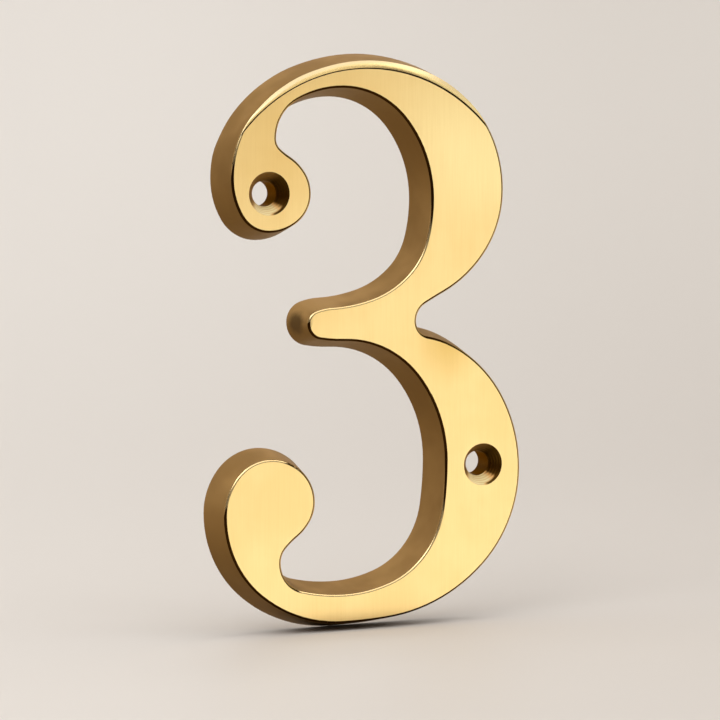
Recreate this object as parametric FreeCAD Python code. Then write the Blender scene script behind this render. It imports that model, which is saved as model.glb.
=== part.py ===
import FreeCAD, Part
import math
import os

# A cast brass door numeral, the figure 3, in millimetres.
# X runs to the right, Z up, and the flat back lies on the wall plane Y = 0 with the face towards -Y.
# Heights and depths are counted from the waist line, which runs through the tip of the spur and
# the notch between the two bowls. X = 0 is the middle of the lower bowl.

# Casting
thickness = 6.6
draft_angle = 12.7
edge_radius = 0.45

# Upper bowl, outer line
upper_height = 45.7
upper_reach = 25.0
upper_belly_height = 23.1
crown_left_of_middle = 1.0
upper_shoulder_in = 5.3
upper_shoulder_down = 8.3
upper_shoulder_slope = 48.0

# Lower bowl, outer line
lower_depth = 53.0
lower_reach = 28.5
lower_belly_depth = 27.0
base_left_of_middle = 6.2
heel_right_of_base = 9.9
heel_rise = 0.5
heel_slope = 7.0

# Notch on the right, where the bowls meet
notch_x = 7.9
notch_upper_out = 5.5
notch_upper_rise = 5.1
notch_upper_slope = 27.0
notch_lower_out = 7.0
notch_lower_drop = 4.4
notch_lower_slope = 26.0

# Stroke widths
crown_stroke = 4.6
upper_belly_stroke = 14.0
lower_belly_stroke = 14.7
base_stroke = 5.0

# Counters, the open insides of the bowls
upper_counter_top_left = 6.1
upper_counter_belly_height = 21.6
upper_counter_corner_in = 4.6
upper_counter_corner_height = 8.1
upper_counter_corner_slope = 44.0
lower_counter_base_left = 5.9
lower_counter_belly_depth = 25.2
lower_counter_corner_in = 3.9
lower_counter_corner_rise = 6.6
lower_counter_corner_slope = 52.0

# Spur, the short bar that points left at the waist
spur_reach = 12.8
spur_rise = 2.7
spur_drop = 3.1
spur_top_start = 4.6
spur_top_slope = 2.0
spur_underside_start = 6.9

# Upper ball, measured from the middle of its screw hole
upper_ball_left_of_middle = 20.1
upper_ball_below_crown = 23.0
upper_ball_inner = 7.8
upper_ball_under = 6.7
upper_ball_outer = 6.9
upper_ball_outer_rise = 2.6
upper_bend_out = 3.8
upper_bend_rise = 6.4
upper_bend_slope = 31.0
upper_neck_out = 1.3
upper_neck_above_bend = 3.1

# Lower ball, measured from its middle. The bowl's left reach is also the ball's.
lower_ball_above_base = 21.7
lower_ball_outer = 8.5
lower_ball_inner = 8.4
lower_ball_over = 7.8
lower_ball_outer_drop = 1.8
lower_bend_out = 5.1
lower_bend_drop = 5.9
lower_bend_slope = 36.0
lower_neck_out = 1.9
lower_neck_below_bend = 4.5

# Facet turned along the crown. It leaves the face at a rounded crease, rolls over towards the
# edge and runs out at both ends.
facet_width_at_crown = 1.25
facet_radius = 30.9
facet_axis_left_of_crown = 0.15
facet_lead_angle = 15.0
facet_crowning_radius = 4.0
crease_radius = 0.9

# Screw holes
bore_diameter = 4.5
countersink_diameter = 7.6
countersink_depth = 2.5

# The cutters reach this far past the surfaces that they open.
cut_overrun = 1.0

LEFT, RIGHT, UP, DOWN = 180.0, 0.0, 90.0, -90.0


def outline_stations():
    """Where the face outline passes, clockwise from the crown: x, z and the heading in degrees."""
    upper_counter_right = upper_reach - upper_belly_stroke
    lower_counter_right = lower_reach - lower_belly_stroke
    lower_counter_base = base_stroke - lower_depth
    high_x = -upper_ball_left_of_middle
    high_z = upper_height - upper_ball_below_crown
    low_x = lower_ball_outer - lower_reach
    low_z = lower_ball_above_base - lower_depth
    return [
        # Outer line of the bowls, with the notch between them
        (-crown_left_of_middle, upper_height, RIGHT),
        (upper_reach - upper_shoulder_in, upper_height - upper_shoulder_down, -upper_shoulder_slope),
        (upper_reach, upper_belly_height, DOWN),
        (notch_x + notch_upper_out, notch_upper_rise, LEFT + notch_upper_slope),
        (notch_x, 0.0, DOWN),
        (notch_x + notch_lower_out, -notch_lower_drop, -notch_lower_slope),
        (lower_reach, -lower_belly_depth, DOWN),
        (heel_right_of_base - base_left_of_middle, heel_rise - lower_depth, LEFT + heel_slope),
        (-base_left_of_middle, -lower_depth, LEFT),
        # Lower ball and its neck
        (-lower_reach, low_z - lower_ball_outer_drop, UP),
        (low_x, low_z + lower_ball_over, RIGHT),
        (low_x + lower_ball_inner, low_z, DOWN),
        (low_x + lower_bend_out, low_z - lower_bend_drop, LEFT + lower_bend_slope),
        (low_x + lower_neck_out, low_z - lower_bend_drop - lower_neck_below_bend, DOWN),
        # Lower counter up to the spur
        (-lower_counter_base_left, lower_counter_base, RIGHT),
        (lower_counter_right - lower_counter_corner_in, lower_counter_base + lower_counter_corner_rise,
         lower_counter_corner_slope),
        (lower_counter_right, -lower_counter_belly_depth, UP),
        # Spur
        (spur_underside_start - spur_reach, -spur_drop, LEFT),
        (-spur_reach, 0.0, UP),
        (spur_top_start - spur_reach, spur_rise, spur_top_slope),
        # Upper counter
        (upper_counter_right - upper_counter_corner_in, upper_counter_corner_height,
         upper_counter_corner_slope),
        (upper_counter_right, upper_counter_belly_height, UP),
        (-upper_counter_top_left, upper_height - crown_stroke, LEFT),
        # Upper neck and ball
        (high_x + upper_neck_out, high_z + upper_bend_rise + upper_neck_above_bend, DOWN),
        (high_x + upper_bend_out, high_z + upper_bend_rise, -upper_bend_slope),
        (high_x + upper_ball_inner, high_z, DOWN),
        (high_x, high_z - upper_ball_under, LEFT),
        (high_x - upper_ball_outer, high_z + upper_ball_outer_rise, UP),
    ]


def direction(degrees):
    """The unit vector at this heading in the plane of the face."""
    angle = math.radians(degrees)
    return FreeCAD.Vector(math.cos(angle), 0, math.sin(angle))


def biarc_joint(start, start_way, end, end_way):
    """The point where two arcs of equal tangent length meet smoothly between two stations."""
    span = end - start
    ways = start_way + end_way
    bend = 2 * (1 - start_way.dot(end_way))
    along = span.dot(ways)
    reach = (math.sqrt(along * along + bend * span.dot(span)) - along) / bend
    return (start + end + (start_way - end_way) * reach) * 0.5


def arc_between(start, way, end):
    """Centre and signed radius of the arc that leaves start along way and reaches end."""
    side = FreeCAD.Vector(-way.z, 0, way.x)
    span = end - start
    radius = span.dot(span) / (2 * side.dot(span))
    return start + side * radius, radius


def outline_arcs():
    """Two arcs for each pair of stations. Radii are positive where the outline turns left."""
    stations = [(FreeCAD.Vector(x, 0, z), direction(heading)) for x, z, heading in outline_stations()]
    arcs = []
    for (start, start_way), (end, end_way) in zip(stations, stations[1:] + stations[:1]):
        joint = biarc_joint(start, start_way, end, end_way)
        centre, radius = arc_between(start, start_way, joint)
        arcs.append((centre, radius, start, joint))
        centre, radius = arc_between(end, end_way * -1, joint)
        arcs.append((centre, -radius, joint, end))
    return arcs


def outline_wire(arcs, spread, y):
    """The closed outline at depth y, grown outwards by spread on the same arc centres."""
    edges = []
    for centre, radius, start, end in arcs:
        scale = (radius - spread) / radius
        to_start = (start - centre) * scale
        to_end = (end - centre) * scale
        to_middle = to_start + to_end
        to_middle.normalize()
        middle = to_middle * abs(radius - spread)
        place = centre + FreeCAD.Vector(0, y, 0)
        edges.append(Part.Arc(place + to_start, place + middle, place + to_end).toShape())
    return Part.Wire(edges)


def make_body():
    """The casting with drafted side walls, wider at the wall plane than at the face."""
    arcs = outline_arcs()
    spread = thickness * math.tan(math.radians(draft_angle))
    face_wire = outline_wire(arcs, 0.0, -thickness)
    back_wire = outline_wire(arcs, spread, 0.0)
    return Part.makeLoft([face_wire, back_wire], True, True)


def round_face_edge(body):
    """The cast round that runs along the whole edge of the face."""
    tolerance = 1e-4
    face_edges = []
    for edge in body.Edges:
        box = edge.BoundBox
        if abs(box.YMin + thickness) < tolerance and abs(box.YMax + thickness) < tolerance:
            face_edges.append(edge)
    return body.makeFillet(edge_radius, face_edges)


def facet_cutter():
    """A turned ring that takes the facet off the crown, on an axis set off from the bowl's."""
    axis_x = -crown_left_of_middle - facet_axis_left_of_crown
    axis_z = upper_height - facet_width_at_crown - facet_radius
    lead = math.radians(facet_lead_angle)
    straight_back = math.radians(90)
    face_x = axis_x + facet_radius - crease_radius * math.tan(lead / 2)

    def crease_point(slope):
        return FreeCAD.Vector(face_x + crease_radius * math.sin(slope),
                              crease_radius * (1 - math.cos(slope)) - thickness, axis_z)

    def band_point(slope):
        out = facet_crowning_radius * (math.sin(slope) - math.sin(lead))
        back = facet_crowning_radius * (math.cos(lead) - math.cos(slope))
        return crease_point(lead) + FreeCAD.Vector(out, back, 0)

    crease = Part.Arc(crease_point(0), crease_point(lead / 2), crease_point(lead))
    band = Part.Arc(band_point(lead), band_point((lead + straight_back) / 2), band_point(straight_back))
    front = -thickness - cut_overrun
    outer_corner = FreeCAD.Vector(band_point(straight_back).x, front, axis_z)
    inner_corner = FreeCAD.Vector(face_x, front, axis_z)
    profile = Part.Wire([
        crease.toShape(),
        band.toShape(),
        Part.makeLine(band_point(straight_back), outer_corner),
        Part.makeLine(outer_corner, inner_corner),
        Part.makeLine(inner_corner, crease_point(0)),
    ])
    # The ring covers the upper half of the bowl only, from the height of its belly.
    axis_point = FreeCAD.Vector(axis_x, 0, axis_z)
    axis_way = FreeCAD.Vector(0, 1, 0)
    end_angle = math.degrees(math.asin((upper_belly_height - axis_z) / facet_radius))
    profile.rotate(axis_point, axis_way, -end_angle)
    return Part.Face(profile).revolve(axis_point, axis_way, 2 * end_angle - 180)


def hole_cutter(x, z):
    """A screw hole: the clearance bore and the countersink for the screw's head."""
    into_wall = FreeCAD.Vector(0, 1, 0)
    bore = Part.makeCylinder(bore_diameter / 2, thickness + 2 * cut_overrun,
                             FreeCAD.Vector(x, -thickness - cut_overrun, z), into_wall)
    sink = Part.makeCone(countersink_diameter / 2, bore_diameter / 2, countersink_depth,
                         FreeCAD.Vector(x, -thickness, z), into_wall)
    return bore.fuse(sink)


def make_numeral():
    """The finished numeral. One screw goes through the upper ball, one through the lower belly."""
    belly_middle = lower_reach - lower_belly_stroke / 2
    belly_depth = (lower_belly_depth + lower_counter_belly_depth) / 2
    solid = round_face_edge(make_body())
    solid = solid.cut(facet_cutter())
    solid = solid.cut(hole_cutter(-upper_ball_left_of_middle, upper_height - upper_ball_below_crown))
    return solid.cut(hole_cutter(belly_middle, -belly_depth))


os.makedirs("parts", exist_ok=True)
numeral = make_numeral()
numeral.exportStep("parts/numeral_three.step")
print("valid", numeral.isValid(), "solids", len(numeral.Solids), "volume", round(numeral.Volume, 1))
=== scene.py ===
import bpy
import math
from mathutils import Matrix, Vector


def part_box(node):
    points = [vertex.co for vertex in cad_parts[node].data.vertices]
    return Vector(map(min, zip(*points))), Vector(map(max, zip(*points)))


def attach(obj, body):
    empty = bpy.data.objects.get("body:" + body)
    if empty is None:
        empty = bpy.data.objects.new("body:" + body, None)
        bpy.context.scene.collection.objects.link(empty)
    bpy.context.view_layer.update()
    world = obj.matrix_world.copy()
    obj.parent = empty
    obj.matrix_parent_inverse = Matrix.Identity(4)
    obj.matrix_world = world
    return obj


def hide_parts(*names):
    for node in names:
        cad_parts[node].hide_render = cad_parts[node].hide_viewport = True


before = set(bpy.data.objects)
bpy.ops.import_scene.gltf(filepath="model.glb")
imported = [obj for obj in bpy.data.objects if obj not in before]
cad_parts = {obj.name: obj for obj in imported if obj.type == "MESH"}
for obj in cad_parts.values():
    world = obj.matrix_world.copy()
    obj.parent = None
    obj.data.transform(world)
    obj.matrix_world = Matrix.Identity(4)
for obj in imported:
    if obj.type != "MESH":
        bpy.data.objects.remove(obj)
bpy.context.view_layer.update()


# The numeral
# The figure 3 is one solid brass casting. Its sides stay as cast under lacquer, a dull brown satin. The face
# and the facet turned along the crown are buffed with fine upright strokes, and the two screw holes are turned.
numeral_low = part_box("numeral_three")[0]
weld_distance, smooth_angle = 0.000002, math.radians(28.0)
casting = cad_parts["numeral_three"]
numeral = bpy.data.objects.new("brass_three", casting.data.copy())
bpy.context.scene.collection.objects.link(numeral)
bpy.ops.object.select_all(action="DESELECT")
numeral.select_set(True)
bpy.context.view_layer.objects.active = numeral
bpy.ops.mesh.customdata_custom_splitnormals_clear()
bpy.ops.object.mode_set(mode="EDIT")
bpy.ops.mesh.select_all(action="SELECT")
bpy.ops.mesh.remove_doubles(threshold=weld_distance)
bpy.ops.object.mode_set(mode="OBJECT")


def eased(value, low, high):
    """A smooth rise from 0 at low to 1 at high."""
    share = min(max((value - low) / (high - low), 0.0), 1.0)
    return share * share * (3.0 - 2.0 * share)


# The upper left shoulder is dressed in by hand, about half a millimetre, outside the facet's crease. The turn
# is counted in degrees round the facet's axis, from the numeral's right side: the crown is at 90.
facet_axis, facet_inner_radius = Vector((-0.00115, 0.0, 0.01355)), 0.03078
crown_dressing, shoulder_dressing = 0.00018, 0.00037
dressing_starts, dressing_full = 0.0310, 0.0324
for vertex in numeral.data.vertices:
    outward = Vector((vertex.co.x, 0.0, vertex.co.z)) - facet_axis
    turn = math.degrees(math.atan2(outward.z, outward.x))
    dressed = crown_dressing * eased(turn, 85.0, 110.0) + shoulder_dressing * eased(turn, 112.0, 131.0)
    dressed *= eased(turn, 163.0, 128.0)
    vertex.co -= outward.normalized() * dressed * eased(outward.length, dressing_starts, dressing_full)

bpy.ops.object.shade_smooth_by_angle(angle=smooth_angle)
bpy.ops.object.modifier_add(type="WEIGHTED_NORMAL")
numeral.modifiers["WeightedNormal"].mode = "FACE_AREA_WITH_ANGLE"
numeral.modifiers["WeightedNormal"].keep_sharp = True
bpy.ops.object.modifier_apply(modifier="WeightedNormal")


def add_node(nodes, kind, place, **settings):
    """A shader node at a place in the editor, with its settings."""
    node = nodes.new(kind)
    node.location = (place[0] * 200, place[1] * 200)
    for name, value in settings.items():
        setattr(node, name, value)
    return node


def start_group(name, inputs, outputs):
    """An empty shader node group with its sockets."""
    group = bpy.data.node_groups.new(name, "ShaderNodeTree")
    for label, kind in inputs:
        group.interface.new_socket(label, in_out="INPUT", socket_type=kind)
    for label, kind in outputs:
        group.interface.new_socket(label, in_out="OUTPUT", socket_type=kind)
    enter = add_node(group.nodes, "NodeGroupInput", (-8, 0))
    leave = add_node(group.nodes, "NodeGroupOutput", (6, 0))
    return group, enter, leave


def between(tree, source, low, high, place, start=0.0, end=1.0):
    """A smooth step from start at low to end at high."""
    step = add_node(tree.nodes, "ShaderNodeMapRange", place, interpolation_type="SMOOTHSTEP")
    for label, value in (("From Min", low), ("From Max", high), ("To Min", start), ("To Max", end)):
        step.inputs[label].default_value = value
    tree.links.new(source, step.inputs["Value"])
    return step.outputs["Result"]


def math_node(tree, operation, first, second, place, third=None):
    """A sum on sockets or numbers."""
    node = add_node(tree.nodes, "ShaderNodeMath", place, operation=operation)
    for socket, value in zip(node.inputs, (first, second, third)):
        if isinstance(value, (int, float)):
            socket.default_value = value
        elif value is not None:
            tree.links.new(value, socket)
    return node.outputs["Value"]


def distance_from(tree, source, spot, place):
    """How far a place on the surface is from a spot."""
    node = add_node(tree.nodes, "ShaderNodeVectorMath", place, operation="DISTANCE")
    node.inputs[1].default_value = spot
    tree.links.new(source, node.inputs[0])
    return node.outputs["Value"]


def mix_colours(tree, factor, first, second, place):
    """Goes from the first colour to the second with the factor."""
    node = add_node(tree.nodes, "ShaderNodeMix", place, data_type="RGBA")
    tree.links.new(factor, node.inputs["Factor"])
    for label, value in (("A", first), ("B", second)):
        if isinstance(value, tuple):
            node.inputs[label].default_value = (*value, 1.0)
        else:
            tree.links.new(value, node.inputs[label])
    return node.outputs["Result"]


def strokes_and_clouds():
    """Fine strokes left by a wheel or belt, and the slow clouding of the metal's colour."""
    group, enter, leave = start_group(
        "strokes_and_clouds",
        [("Place", "NodeSocketVector"), ("Across", "NodeSocketFloat"), ("Along", "NodeSocketFloat")],
        [("Strokes", "NodeSocketFloat"), ("Clouds", "NodeSocketFloat")])
    nodes, links = group.nodes, group.links
    spacing = add_node(nodes, "ShaderNodeCombineXYZ", (-6, 1))
    links.new(enter.outputs["Across"], spacing.inputs["X"])
    links.new(enter.outputs["Across"], spacing.inputs["Y"])
    links.new(enter.outputs["Along"], spacing.inputs["Z"])
    stretch = add_node(nodes, "ShaderNodeVectorMath", (-4, 1), operation="MULTIPLY")
    links.new(enter.outputs["Place"], stretch.inputs[0])
    links.new(spacing.outputs["Vector"], stretch.inputs[1])
    noises = []
    for row, (source, scale, grain) in enumerate(((stretch.outputs["Vector"], 1.0, 0.6),
                                                  (enter.outputs["Place"], 70.0, 0.55))):
        noise = add_node(nodes, "ShaderNodeTexNoise", (-2, 1 - 2 * row), noise_dimensions="3D")
        noise.inputs["Scale"].default_value = scale
        noise.inputs["Detail"].default_value = 3.0
        noise.inputs["Roughness"].default_value = grain
        links.new(source, noise.inputs["Vector"])
        noises.append(noise.outputs["Fac"])
    strokes, clouds = noises
    links.new(strokes, leave.inputs["Strokes"])
    links.new(between(group, clouds, 0.32, 0.68, (1, -1)), leave.inputs["Clouds"])
    return group


wheel_marks = strokes_and_clouds()


def start_material(name, across, along):
    """A metal material with its place, the parts of its normal, and its wheel marks: how many there are to
    the metre across the numeral and up it."""
    material = bpy.data.materials.new(name)
    material.use_nodes = True
    tree = material.node_tree
    tree.nodes.clear()
    place = add_node(tree.nodes, "ShaderNodeTexCoord", (-10, 0))
    marks = add_node(tree.nodes, "ShaderNodeGroup", (-7, 2))
    marks.node_tree = wheel_marks
    marks.inputs["Across"].default_value = across
    marks.inputs["Along"].default_value = along
    tree.links.new(place.outputs["Object"], marks.inputs["Place"])
    normal = add_node(tree.nodes, "ShaderNodeSeparateXYZ", (-9, -2))
    tree.links.new(place.outputs["Normal"], normal.inputs["Vector"])
    return material, tree, place, marks, normal


def finish_material(tree, colour, roughness, height, depth, grazing=(0.93, 0.82, 0.66)):
    """Joins the colour, the roughness and the height of the marks to the metal. The last colour is the tint
    that the metal mirrors when it is seen almost along its surface."""
    grooves = add_node(tree.nodes, "ShaderNodeBump", (2, -4))
    grooves.inputs["Strength"].default_value = 1.0
    grooves.inputs["Distance"].default_value = depth
    tree.links.new(height, grooves.inputs["Height"])
    shader = add_node(tree.nodes, "ShaderNodeBsdfPrincipled", (4, 0))
    shader.inputs["Metallic"].default_value = 1.0
    shader.inputs["Specular Tint"].default_value = (*grazing, 1.0)
    tree.links.new(colour, shader.inputs["Base Color"])
    tree.links.new(roughness, shader.inputs["Roughness"])
    tree.links.new(grooves.outputs["Normal"], shader.inputs["Normal"])
    surface = add_node(tree.nodes, "ShaderNodeOutputMaterial", (6, 0))
    tree.links.new(shader.outputs["BSDF"], surface.inputs["Surface"])
    return shader


def lean_from_front(tree, normal):
    """How far the surface leans away from the front, in degrees."""
    front = math_node(tree, "MULTIPLY", normal.outputs["Y"], -1.0, (-8, -3))
    lean = math_node(tree, "ARCCOSINE", math_node(tree, "MINIMUM", front, 1.0, (-7, -3)), None, (-6, -3))
    return math_node(tree, "DEGREES", lean, None, (-5, -3))


def painted_edge_shade(tree, place, normal, lean):
    """A dark line painted where the face turns over, painted shade. It ends at a lean of 80 degrees, or of 15 on
    edges that look up and to the left, where they catch the light, but not beside the notch."""
    full_end, lit_end = 80.0, 15.0
    notch, notch_edge, notch_clear = (0.0135, -0.0062, -0.0035), 0.0045, 0.0060
    side_lean = math_node(tree, "SINE", math_node(tree, "RADIANS", lean, None, (-5, -5)), None, (-4, -5))
    up_left = math_node(tree, "SUBTRACT", math_node(tree, "MULTIPLY", normal.outputs["Z"], 0.87, (-6, -6)),
                        math_node(tree, "MULTIPLY", normal.outputs["X"], 0.50, (-6, -7)), (-5, -6))
    up_left_share = math_node(tree, "DIVIDE", up_left, math_node(tree, "MAXIMUM", side_lean, 0.02, (-4, -6)),
                           (-3, -6))
    clear_of_notch = between(tree, distance_from(tree, place.outputs["Object"], notch, (-6, -8)),
                             notch_edge, notch_clear, (-5, -8))
    lit_up_left = math_node(tree, "MULTIPLY", clear_of_notch,
                            between(tree, up_left_share, 0.45, 0.75, (-3, -5)), (-2, -5))
    end = math_node(tree, "MULTIPLY_ADD", lit_up_left, lit_end - full_end, (-1, -5), full_end)
    starts = between(tree, lean, 1.0, 4.0, (-4, -3))
    stops = between(tree, math_node(tree, "SUBTRACT", lean, end, (-4, -4)), 0.0, 5.0, (-3, -4), 1.0, 0.0)
    faint = between(tree, lit_up_left, 0.5, 1.0, (-1, -4), 1.0, 0.5)
    return math_node(tree, "MULTIPLY", math_node(tree, "MULTIPLY", starts, stops, (-2, -3)), faint, (0, -4))


def painted_crease_shade(tree, place, normal, lean):
    """A dark line painted in the crease, painted shade: a line round the facet's axis that broadens towards the
    right and stops where the edge rounds over."""
    narrow, broad = facet_inner_radius + 0.00018, facet_inner_radius + 0.00034
    across = add_node(tree.nodes, "ShaderNodeVectorMath", (-7, -5), operation="SUBTRACT")
    across.inputs[1].default_value = facet_axis
    tree.links.new(place.outputs["Object"], across.inputs[0])
    parts = add_node(tree.nodes, "ShaderNodeSeparateXYZ", (-6, -5))
    tree.links.new(across.outputs["Vector"], parts.inputs["Vector"])
    squares = [math_node(tree, "MULTIPLY", parts.outputs[axis], parts.outputs[axis], (-5, -5 - row))
               for row, axis in enumerate("XZ")]
    radius = math_node(tree, "SQRT", math_node(tree, "ADD", *squares, (-4, -5)), None, (-3, -5))
    outer = between(tree, parts.outputs["X"], -0.005, 0.018, (-4, -7), narrow, broad)
    starts = between(tree, radius, facet_inner_radius - 0.00001, facet_inner_radius + 0.00002, (-2, -4))
    stops = between(tree, math_node(tree, "SUBTRACT", radius, outer, (-2, -6)), 0.0, 0.00003, (-1, -6), 1.0, 0.0)
    on_facet = between(tree, lean, 34.0, 46.0, (-1, -7), 1.0, 0.0)
    return math_node(tree, "MULTIPLY", math_node(tree, "MULTIPLY", starts, stops, (0, -6)), on_facet, (0, -7))


def buffed_brass(name, dark_line, highlight_tint):
    """Bright brass with upright strokes on the flat, painted reflections, a clean polish and a painted highlight
    tint on the rounded edge, and a painted dark line of shade.
    """
    brass, pale_brass, stroke_tint = (0.870, 0.635, 0.265), (0.905, 0.680, 0.300), (0.60, 0.37, 0.12)
    as_cast, edge_shade_dark, edge_shade_brown = (0.45, 0.27, 0.10), (0.022, 0.008, 0.001), (0.60, 0.38, 0.12)
    # Painted reflections on the face, two darker and one bright: each has its x and z, its radius, how strong it
    # is, and its tint.
    painted_reflections = [(-0.019, 0.036, 0.026, 0.26, (0.64, 0.34, 0.04)),
               (0.0145, -0.0038, 0.0085, 0.55, (0.62, 0.38, 0.06)),
               (0.018, 0.030, 0.020, 0.70, (1.0, 0.82, 0.40))]
    material, tree, place, marks, normal = start_material(name, 5200.0, 110.0)
    lean = lean_from_front(tree, normal)
    reflected = mix_colours(tree, marks.outputs["Clouds"], brass, pale_brass, (-3, 3))
    for row, (x, z, radius, strength, tint) in enumerate(painted_reflections):
        from_reflection = distance_from(tree, place.outputs["Object"], (x, numeral_low.y, z), (-7, 6 + row))
        reflection_share = between(tree, from_reflection, 0.0, radius, (-6, 6 + row), strength, 0.0)
        reflected = mix_colours(tree, reflection_share, reflected, tint, (-2 + row, 5))
    stroked = mix_colours(tree, between(tree, marks.outputs["Strokes"], 0.25, 0.8, (-3, 1), 0.0, 0.07),
                          reflected, stroke_tint, (-1, 2))
    # Rounded edges leaning past about 21 to 33 degrees that don't face right get a painted highlight tint, set
    # to how bright their highlight shows.
    painted_highlight_mask = math_node(tree, "MULTIPLY", between(tree, lean, 21.0, 33.0, (-2, 0)),
                            between(tree, normal.outputs["X"], 0.15, 0.5, (-2, 1), 1.0, 0.0), (-1, 1))
    highlight_tinted = mix_colours(tree, painted_highlight_mask, stroked, highlight_tint, (0, 2))
    dulled = mix_colours(tree, between(tree, lean, 46.0, 62.0, (-1, 0)), highlight_tinted, as_cast, (0, 3))
    line = dark_line(tree, place, normal, lean)
    # The painted dark line of shade is near black, and brown on edges that face right.
    edge_shade_colour = mix_colours(tree, between(tree, normal.outputs["X"], 0.2, 0.5, (-2, 4)),
                          edge_shade_dark, edge_shade_brown, (0, 4))
    colour = mix_colours(tree, line, dulled, edge_shade_colour, (1, 2))
    edge = between(tree, lean, 1.0, 4.0, (-3, -1))
    flat = between(tree, marks.outputs["Strokes"], 0.2, 0.8, (-3, 0), 0.39, 0.45)
    polished = math_node(tree, "MULTIPLY_ADD", line, 0.10, (-1, -1), 0.26)
    roughness = add_node(tree.nodes, "ShaderNodeMix", (0, -1), data_type="FLOAT")
    tree.links.new(edge, roughness.inputs["Factor"])
    tree.links.new(flat, roughness.inputs["A"])
    tree.links.new(polished, roughness.inputs["B"])
    finish_material(tree, colour, roughness.outputs["Result"], marks.outputs["Strokes"], 0.0000015,
                    (0.85, 0.62, 0.35))
    return material


# The face and the facet each get a painted dark line of shade, and a painted highlight tint on their edges:
# paler on the face, darker on the facet.
buffed_face = buffed_brass("buffed_face", painted_edge_shade, (0.88, 0.65, 0.33))
turned_facet = buffed_brass("turned_facet", painted_crease_shade, (0.69, 0.54, 0.30))

# The sides are as cast under lacquer. They are painted paler where they face up and darker where they face down,
# painted light and shade, and the tip of the spur has a dark smudge.
spur_smudge, smudge_core, smudge_rim = (-0.0137, -0.0028, -0.0001), 0.0016, 0.0034
satin_side, tree, place, marks, normal = start_material("satin_side", 900.0, 900.0)
facing_up = between(tree, normal.outputs["Z"], -0.60, 0.95, (-5, 4))
painted_side_light = mix_colours(tree, facing_up, (0.172, 0.088, 0.022), (0.485, 0.280, 0.100), (-3, 4))
clouded = mix_colours(tree, between(tree, marks.outputs["Clouds"], 0.0, 1.0, (-5, 2), 0.0, 0.36),
                      painted_side_light, (0.17, 0.085, 0.025), (-1, 3))
ragged = math_node(tree, "MULTIPLY_ADD", marks.outputs["Strokes"], 0.0012, (-4, 1),
                   distance_from(tree, place.outputs["Object"], spur_smudge, (-5, 0)))
smudge = between(tree, ragged, smudge_core, smudge_rim, (-3, 1), 0.75, 0.0)
side_colour = mix_colours(tree, smudge, clouded, (0.06, 0.032, 0.012), (1, 3))
side_roughness = between(tree, marks.outputs["Clouds"], 0.0, 1.0, (0, -1), 0.40, 0.48)
finish_material(tree, side_colour, side_roughness, marks.outputs["Strokes"], 0.000003)

# The screw holes are turned, with fine rings. Light and shade are painted into them: the bore and most of the
# countersink are painted dark, and the lower side of the countersink is painted as a pale crescent, rough and
# little metallic, up to a painted dark line inside its rim. The ring rate is in radians to the metre, so there
# is a ring about every 0.3 mm.
upper_hole, lower_hole, sink_radius = Vector((-0.0201, 0.0, 0.0227)), Vector((0.02115, 0.0, -0.0261)), 0.0038
rim_shade_starts, rim_shade_full = 0.00338, 0.00358
ring_rate = 20000.0
painted_bore_shade, crescent_fringe = (0.11, 0.055, 0.022), (0.84, 0.50, 0.18)
turned_hole, tree, place, marks, normal = start_material("turned_hole", 3000.0, 3000.0)
onto_face = add_node(tree.nodes, "ShaderNodeVectorMath", (-8, 4), operation="MULTIPLY")
onto_face.inputs[1].default_value = (1.0, 0.0, 1.0)
tree.links.new(place.outputs["Object"], onto_face.inputs[0])
from_axes = [distance_from(tree, onto_face.outputs["Vector"], hole, (-6, 4 + row))
             for row, hole in enumerate((upper_hole, lower_hole))]
ring_radius = math_node(tree, "MINIMUM", *from_axes, (-5, 4))
rings = math_node(tree, "SINE", math_node(tree, "MULTIPLY", ring_radius, ring_rate, (-4, 4)), None, (-3, 4))
# Painted light: a pale crescent with its rings on the upward-facing lower side of the countersink, cut at its
# lower right by a painted dark line inside the rim.
lower_left = math_node(tree, "ADD", math_node(tree, "MULTIPLY", normal.outputs["Z"], 0.99, (-7, 1)),
                       math_node(tree, "MULTIPLY", normal.outputs["X"], 0.12, (-7, 0)), (-6, 1))
lit_lower_side = between(tree, lower_left, 0.34, 0.80, (-5, 2))
on_countersink = between(tree, normal.outputs["Y"], -0.4, -0.2, (-5, 1), 1.0, 0.0)
painted_rim_shade = math_node(tree, "MULTIPLY", between(tree, ring_radius, rim_shade_starts, rim_shade_full, (-5, 0)),
                     between(tree, normal.outputs["X"], -0.32, 0.0, (-5, -1), 1.0, 0.0), (-4, 0))
inside_rim = math_node(tree, "SUBTRACT", on_countersink, painted_rim_shade, (-3, 1))
painted_crescent = math_node(tree, "MULTIPLY", lit_lower_side, math_node(tree, "MAXIMUM", inside_rim, 0.0, (-3, 0)), (-2, 1))
# Painted shade: the countersink goes from near black on its right to golden brown on its left, and the bore is
# dark brown.
painted_countersink_shade = mix_colours(tree, between(tree, normal.outputs["X"], -0.6, 0.6, (-4, 2)),
                               (0.05, 0.025, 0.004), (0.90, 0.53, 0.16), (-3, 2))
painted_hole_shade = mix_colours(tree, on_countersink, painted_bore_shade, painted_countersink_shade, (-2, 2))
painted_lit_rings = mix_colours(tree, between(tree, rings, -1.0, 1.0, (-3, 3)),
                           (0.88, 0.66, 0.31), (1.0, 0.87, 0.49), (-2, 3))
fringed_crescent = mix_colours(tree, between(tree, painted_crescent, 0.0, 0.6, (-1, 1)), painted_hole_shade, crescent_fringe, (-1, 2))
hole_colour = mix_colours(tree, between(tree, painted_crescent, 0.4, 1.0, (-1, 3)), fringed_crescent, painted_lit_rings, (0, 2))
ring_height = math_node(tree, "MULTIPLY_ADD", rings, 1.8, (-2, 4), marks.outputs["Strokes"])
hole_roughness = between(tree, painted_crescent, 0.0, 1.0, (0, -1), 0.36, 0.60)
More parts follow.
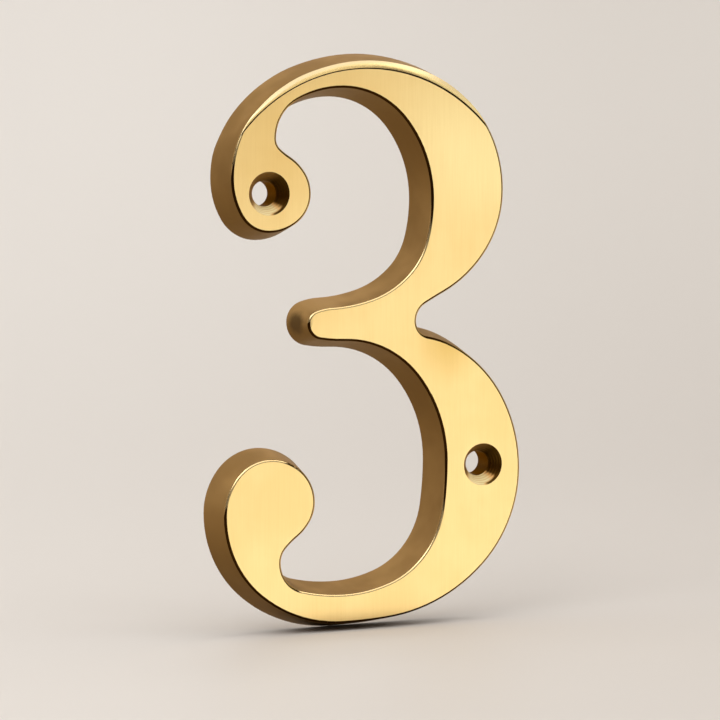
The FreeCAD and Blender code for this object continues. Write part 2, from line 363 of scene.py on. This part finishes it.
hole_shader = finish_material(tree, hole_colour, hole_roughness, ring_height, 0.00001, (0.60, 0.43, 0.26))
tree.links.new(between(tree, painted_crescent, 0.0, 1.0, (2, -2), 1.0, 0.1), hole_shader.inputs["Metallic"])

# The back is ground flat on a belt and left bare.
ground_back, tree, place, marks, normal = start_material("ground_back", 260.0, 5200.0)
back_colour = mix_colours(tree, marks.outputs["Clouds"], (0.50, 0.34, 0.14), (0.68, 0.48, 0.21), (-3, 2))
back_stroked = mix_colours(tree, between(tree, marks.outputs["Strokes"], 0.3, 0.75, (-3, 1), 0.0, 0.35),
                           back_colour, (0.30, 0.19, 0.075), (-1, 2))
back_roughness = between(tree, marks.outputs["Strokes"], 0.2, 0.8, (0, -1), 0.34, 0.5)
finish_material(tree, back_stroked, back_roughness, marks.outputs["Strokes"], 0.00001)

# Each surface gets its finish by its place and by how squarely it faces the front. A side lies wholly behind
# the rounded edge of the face.
square_on, side_at_most, side_starts = 0.9999, 0.35, -0.00626
numeral.data.materials.clear()
finishes = [buffed_face, turned_facet, satin_side, turned_hole, ground_back]
for finish in finishes:
    numeral.data.materials.append(finish)
for polygon in numeral.data.polygons:
    spot = Vector((polygon.center.x, 0.0, polygon.center.z))
    front = -polygon.normal.y
    nearest_face = min(numeral.data.vertices[v].co.y for v in polygon.vertices)
    if front < -square_on:
        finish = ground_back
    elif front > square_on:
        finish = buffed_face
    elif min((spot - upper_hole).length, (spot - lower_hole).length) < sink_radius:
        finish = turned_hole
    elif nearest_face > side_starts and front < side_at_most:
        finish = satin_side
    elif (spot - facet_axis).length > facet_inner_radius and spot.z > facet_axis.z:
        finish = turned_facet
    else:
        finish = buffed_face
    polygon.material_index = finishes.index(finish)
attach(numeral, "root")
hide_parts("numeral_three")


# The sweep that the numeral stands on
# One pale sheet of paper lies on the table and curves up behind the numeral, so no corner shows. It is
# turned to face the camera, and its colour carries the soft fall of the light from left to right.
sweep_front, sweep_back, sweep_half_width, sweep_bend = -3.5, 0.25, 4.0, 1.5
sweep_rise, sweep_steps = math.radians(58.0), 40
view_yaw = math.radians(23.9)
bpy.ops.object.select_all(action="DESELECT")
bpy.ops.mesh.primitive_plane_add(size=1.0, location=(0, 0, 0))
sweep = bpy.context.object
sweep.name = "paper_sweep"
sweep.scale = (2 * sweep_half_width, sweep_back - sweep_front, 1.0)
sweep.location = (0.0, (sweep_back + sweep_front) / 2, 0.0)
bpy.ops.object.transform_apply(location=True, rotation=True, scale=True)
bpy.ops.object.mode_set(mode="EDIT")
bpy.ops.mesh.select_mode(type="EDGE")
bpy.ops.mesh.select_all(action="DESELECT")
bpy.ops.object.mode_set(mode="OBJECT")
for edge in sweep.data.edges:
    ends = [sweep.data.vertices[v].co.y for v in edge.vertices]
    edge.select = min(ends) > sweep_back - 0.001
bpy.ops.object.mode_set(mode="EDIT")
bpy.ops.mesh.spin(steps=sweep_steps, angle=-sweep_rise, center=(0, sweep_back, sweep_bend), axis=(1, 0, 0))
bpy.ops.mesh.select_all(action="SELECT")
bpy.ops.mesh.normals_make_consistent(inside=False)
bpy.ops.object.mode_set(mode="OBJECT")
bpy.ops.object.shade_smooth()
sweep.rotation_euler = (0.0, 0.0, -view_yaw)
sweep.location = (0.0, 0.0, numeral_low.z)
bpy.ops.object.transform_apply(location=True, rotation=True, scale=True)

paper = bpy.data.materials.new("pale_paper")
paper.use_nodes = True
tree = paper.node_tree
paper_shader = tree.nodes["Principled BSDF"]
place = add_node(tree.nodes, "ShaderNodeTexCoord", (-5, 0))
turned = add_node(tree.nodes, "ShaderNodeVectorRotate", (-4, 0), rotation_type="Z_AXIS")
turned.inputs["Angle"].default_value = view_yaw
across = add_node(tree.nodes, "ShaderNodeSeparateXYZ", (-3, 0))
tree.links.new(place.outputs["Object"], turned.inputs["Vector"])
tree.links.new(turned.outputs["Vector"], across.inputs["Vector"])
# The paper's colour is painted light and shade: lighter on the left than the right, and darker on the near floor
# than on the far sweep.
fade = between(tree, across.outputs["X"], -0.16, 0.14, (-2, 0))
near = mix_colours(tree, fade, (0.765, 0.710, 0.652), (0.645, 0.588, 0.532), (-1, 1))
far = mix_colours(tree, fade, (0.835, 0.78, 0.72), (0.74, 0.685, 0.625), (-1, 0))
paper_colour = mix_colours(tree, between(tree, across.outputs["Y"], 0.15, 0.90, (-2, 2)), near, far, (0, 1))
tree.links.new(paper_colour, paper_shader.inputs["Base Color"])
paper_shader.inputs["Roughness"].default_value = 0.55
sweep.data.materials.append(paper)


# The studio light
# The face mirrors a low softbox in front and a light on the floor, the facet mirrors the boxes above and to
# the right, and the sides mirror the panels behind. A ceiling panel lights the floor. The room is dim.


def softbox(name, place, aim, width, height, radiance):
    """A soft rectangular lamp at a place, turned to its aim. Its power gives the stated radiance."""
    lamp = bpy.data.lights.new(name, "AREA")
    lamp.shape = "RECTANGLE"
    lamp.size = width
    lamp.size_y = height
    lamp.energy = radiance * math.pi * width * height
    box = bpy.data.objects.new(name, lamp)
    bpy.context.scene.collection.objects.link(box)
    box.location = place
    box.rotation_euler = (Vector(place) - Vector(aim)).to_track_quat("Z", "Y").to_euler()
    box.visible_camera = False


middle = (0.0, 0.0, 0.0)
softbox("low_softbox", (0.52, -0.87, 0.020), (0.0, 0.0, 0.012), 0.46, 0.13, 2.8)
softbox("floor_light", (0.26, -0.44, numeral_low.z + 0.002), (0.26, -0.44, 1.0), 0.70, 0.86, 0.76)
softbox("upper_softbox", (-0.20, -1.05, 0.78), middle, 1.7, 0.5, 0.95)
softbox("right_softbox", (0.98, -0.30, 0.64), middle, 1.1, 0.9, 0.82)
softbox("key_softbox", (-0.80, -0.50, 0.92), middle, 0.7, 0.7, 2.0)
softbox("ceiling_panel", (-0.1, -0.35, 1.35), (-0.1, -0.35, 0.0), 2.9, 1.8, 1.42)
softbox("back_panel", (0.0, 1.42, 1.1), middle, 2.4, 0.7, 1.05)
softbox("background_light", (0.25, 0.55, 0.95), (0.35, 1.47, 0.61), 1.4, 0.5, 0.7)
softbox("left_panel", (-1.15, 0.80, 0.40), middle, 1.4, 0.9, 0.75)

room = bpy.data.worlds.new("dim_room")
bpy.context.scene.world = room
room.use_nodes = True
room.node_tree.nodes["Background"].inputs["Color"].default_value = (1.0, 0.93, 0.85, 1.0)
room.node_tree.nodes["Background"].inputs["Strength"].default_value = 0.10


# The camera
# It looks at the numeral's face from its left, slightly from above, through a long lens about half a metre
# away.
view_rise = math.radians(4.3)
view_distance = 0.5095
aim = Vector((-0.0030, -0.0066, -0.00658))
sight = Vector((math.sin(view_yaw) * math.cos(view_rise), math.cos(view_yaw) * math.cos(view_rise),
                -math.sin(view_rise)))
lens = bpy.data.cameras.new("photo_view")
lens.sensor_width = 36.0
lens.lens = 145.0
lens.clip_start = 0.01
camera = bpy.data.objects.new("photo_view", lens)
bpy.context.scene.collection.objects.link(camera)
camera.location = aim - sight * view_distance
camera.rotation_euler = sight.to_track_quat("-Z", "Y").to_euler()
bpy.context.scene.camera = camera
bpy.context.scene.view_settings.view_transform = "Standard"
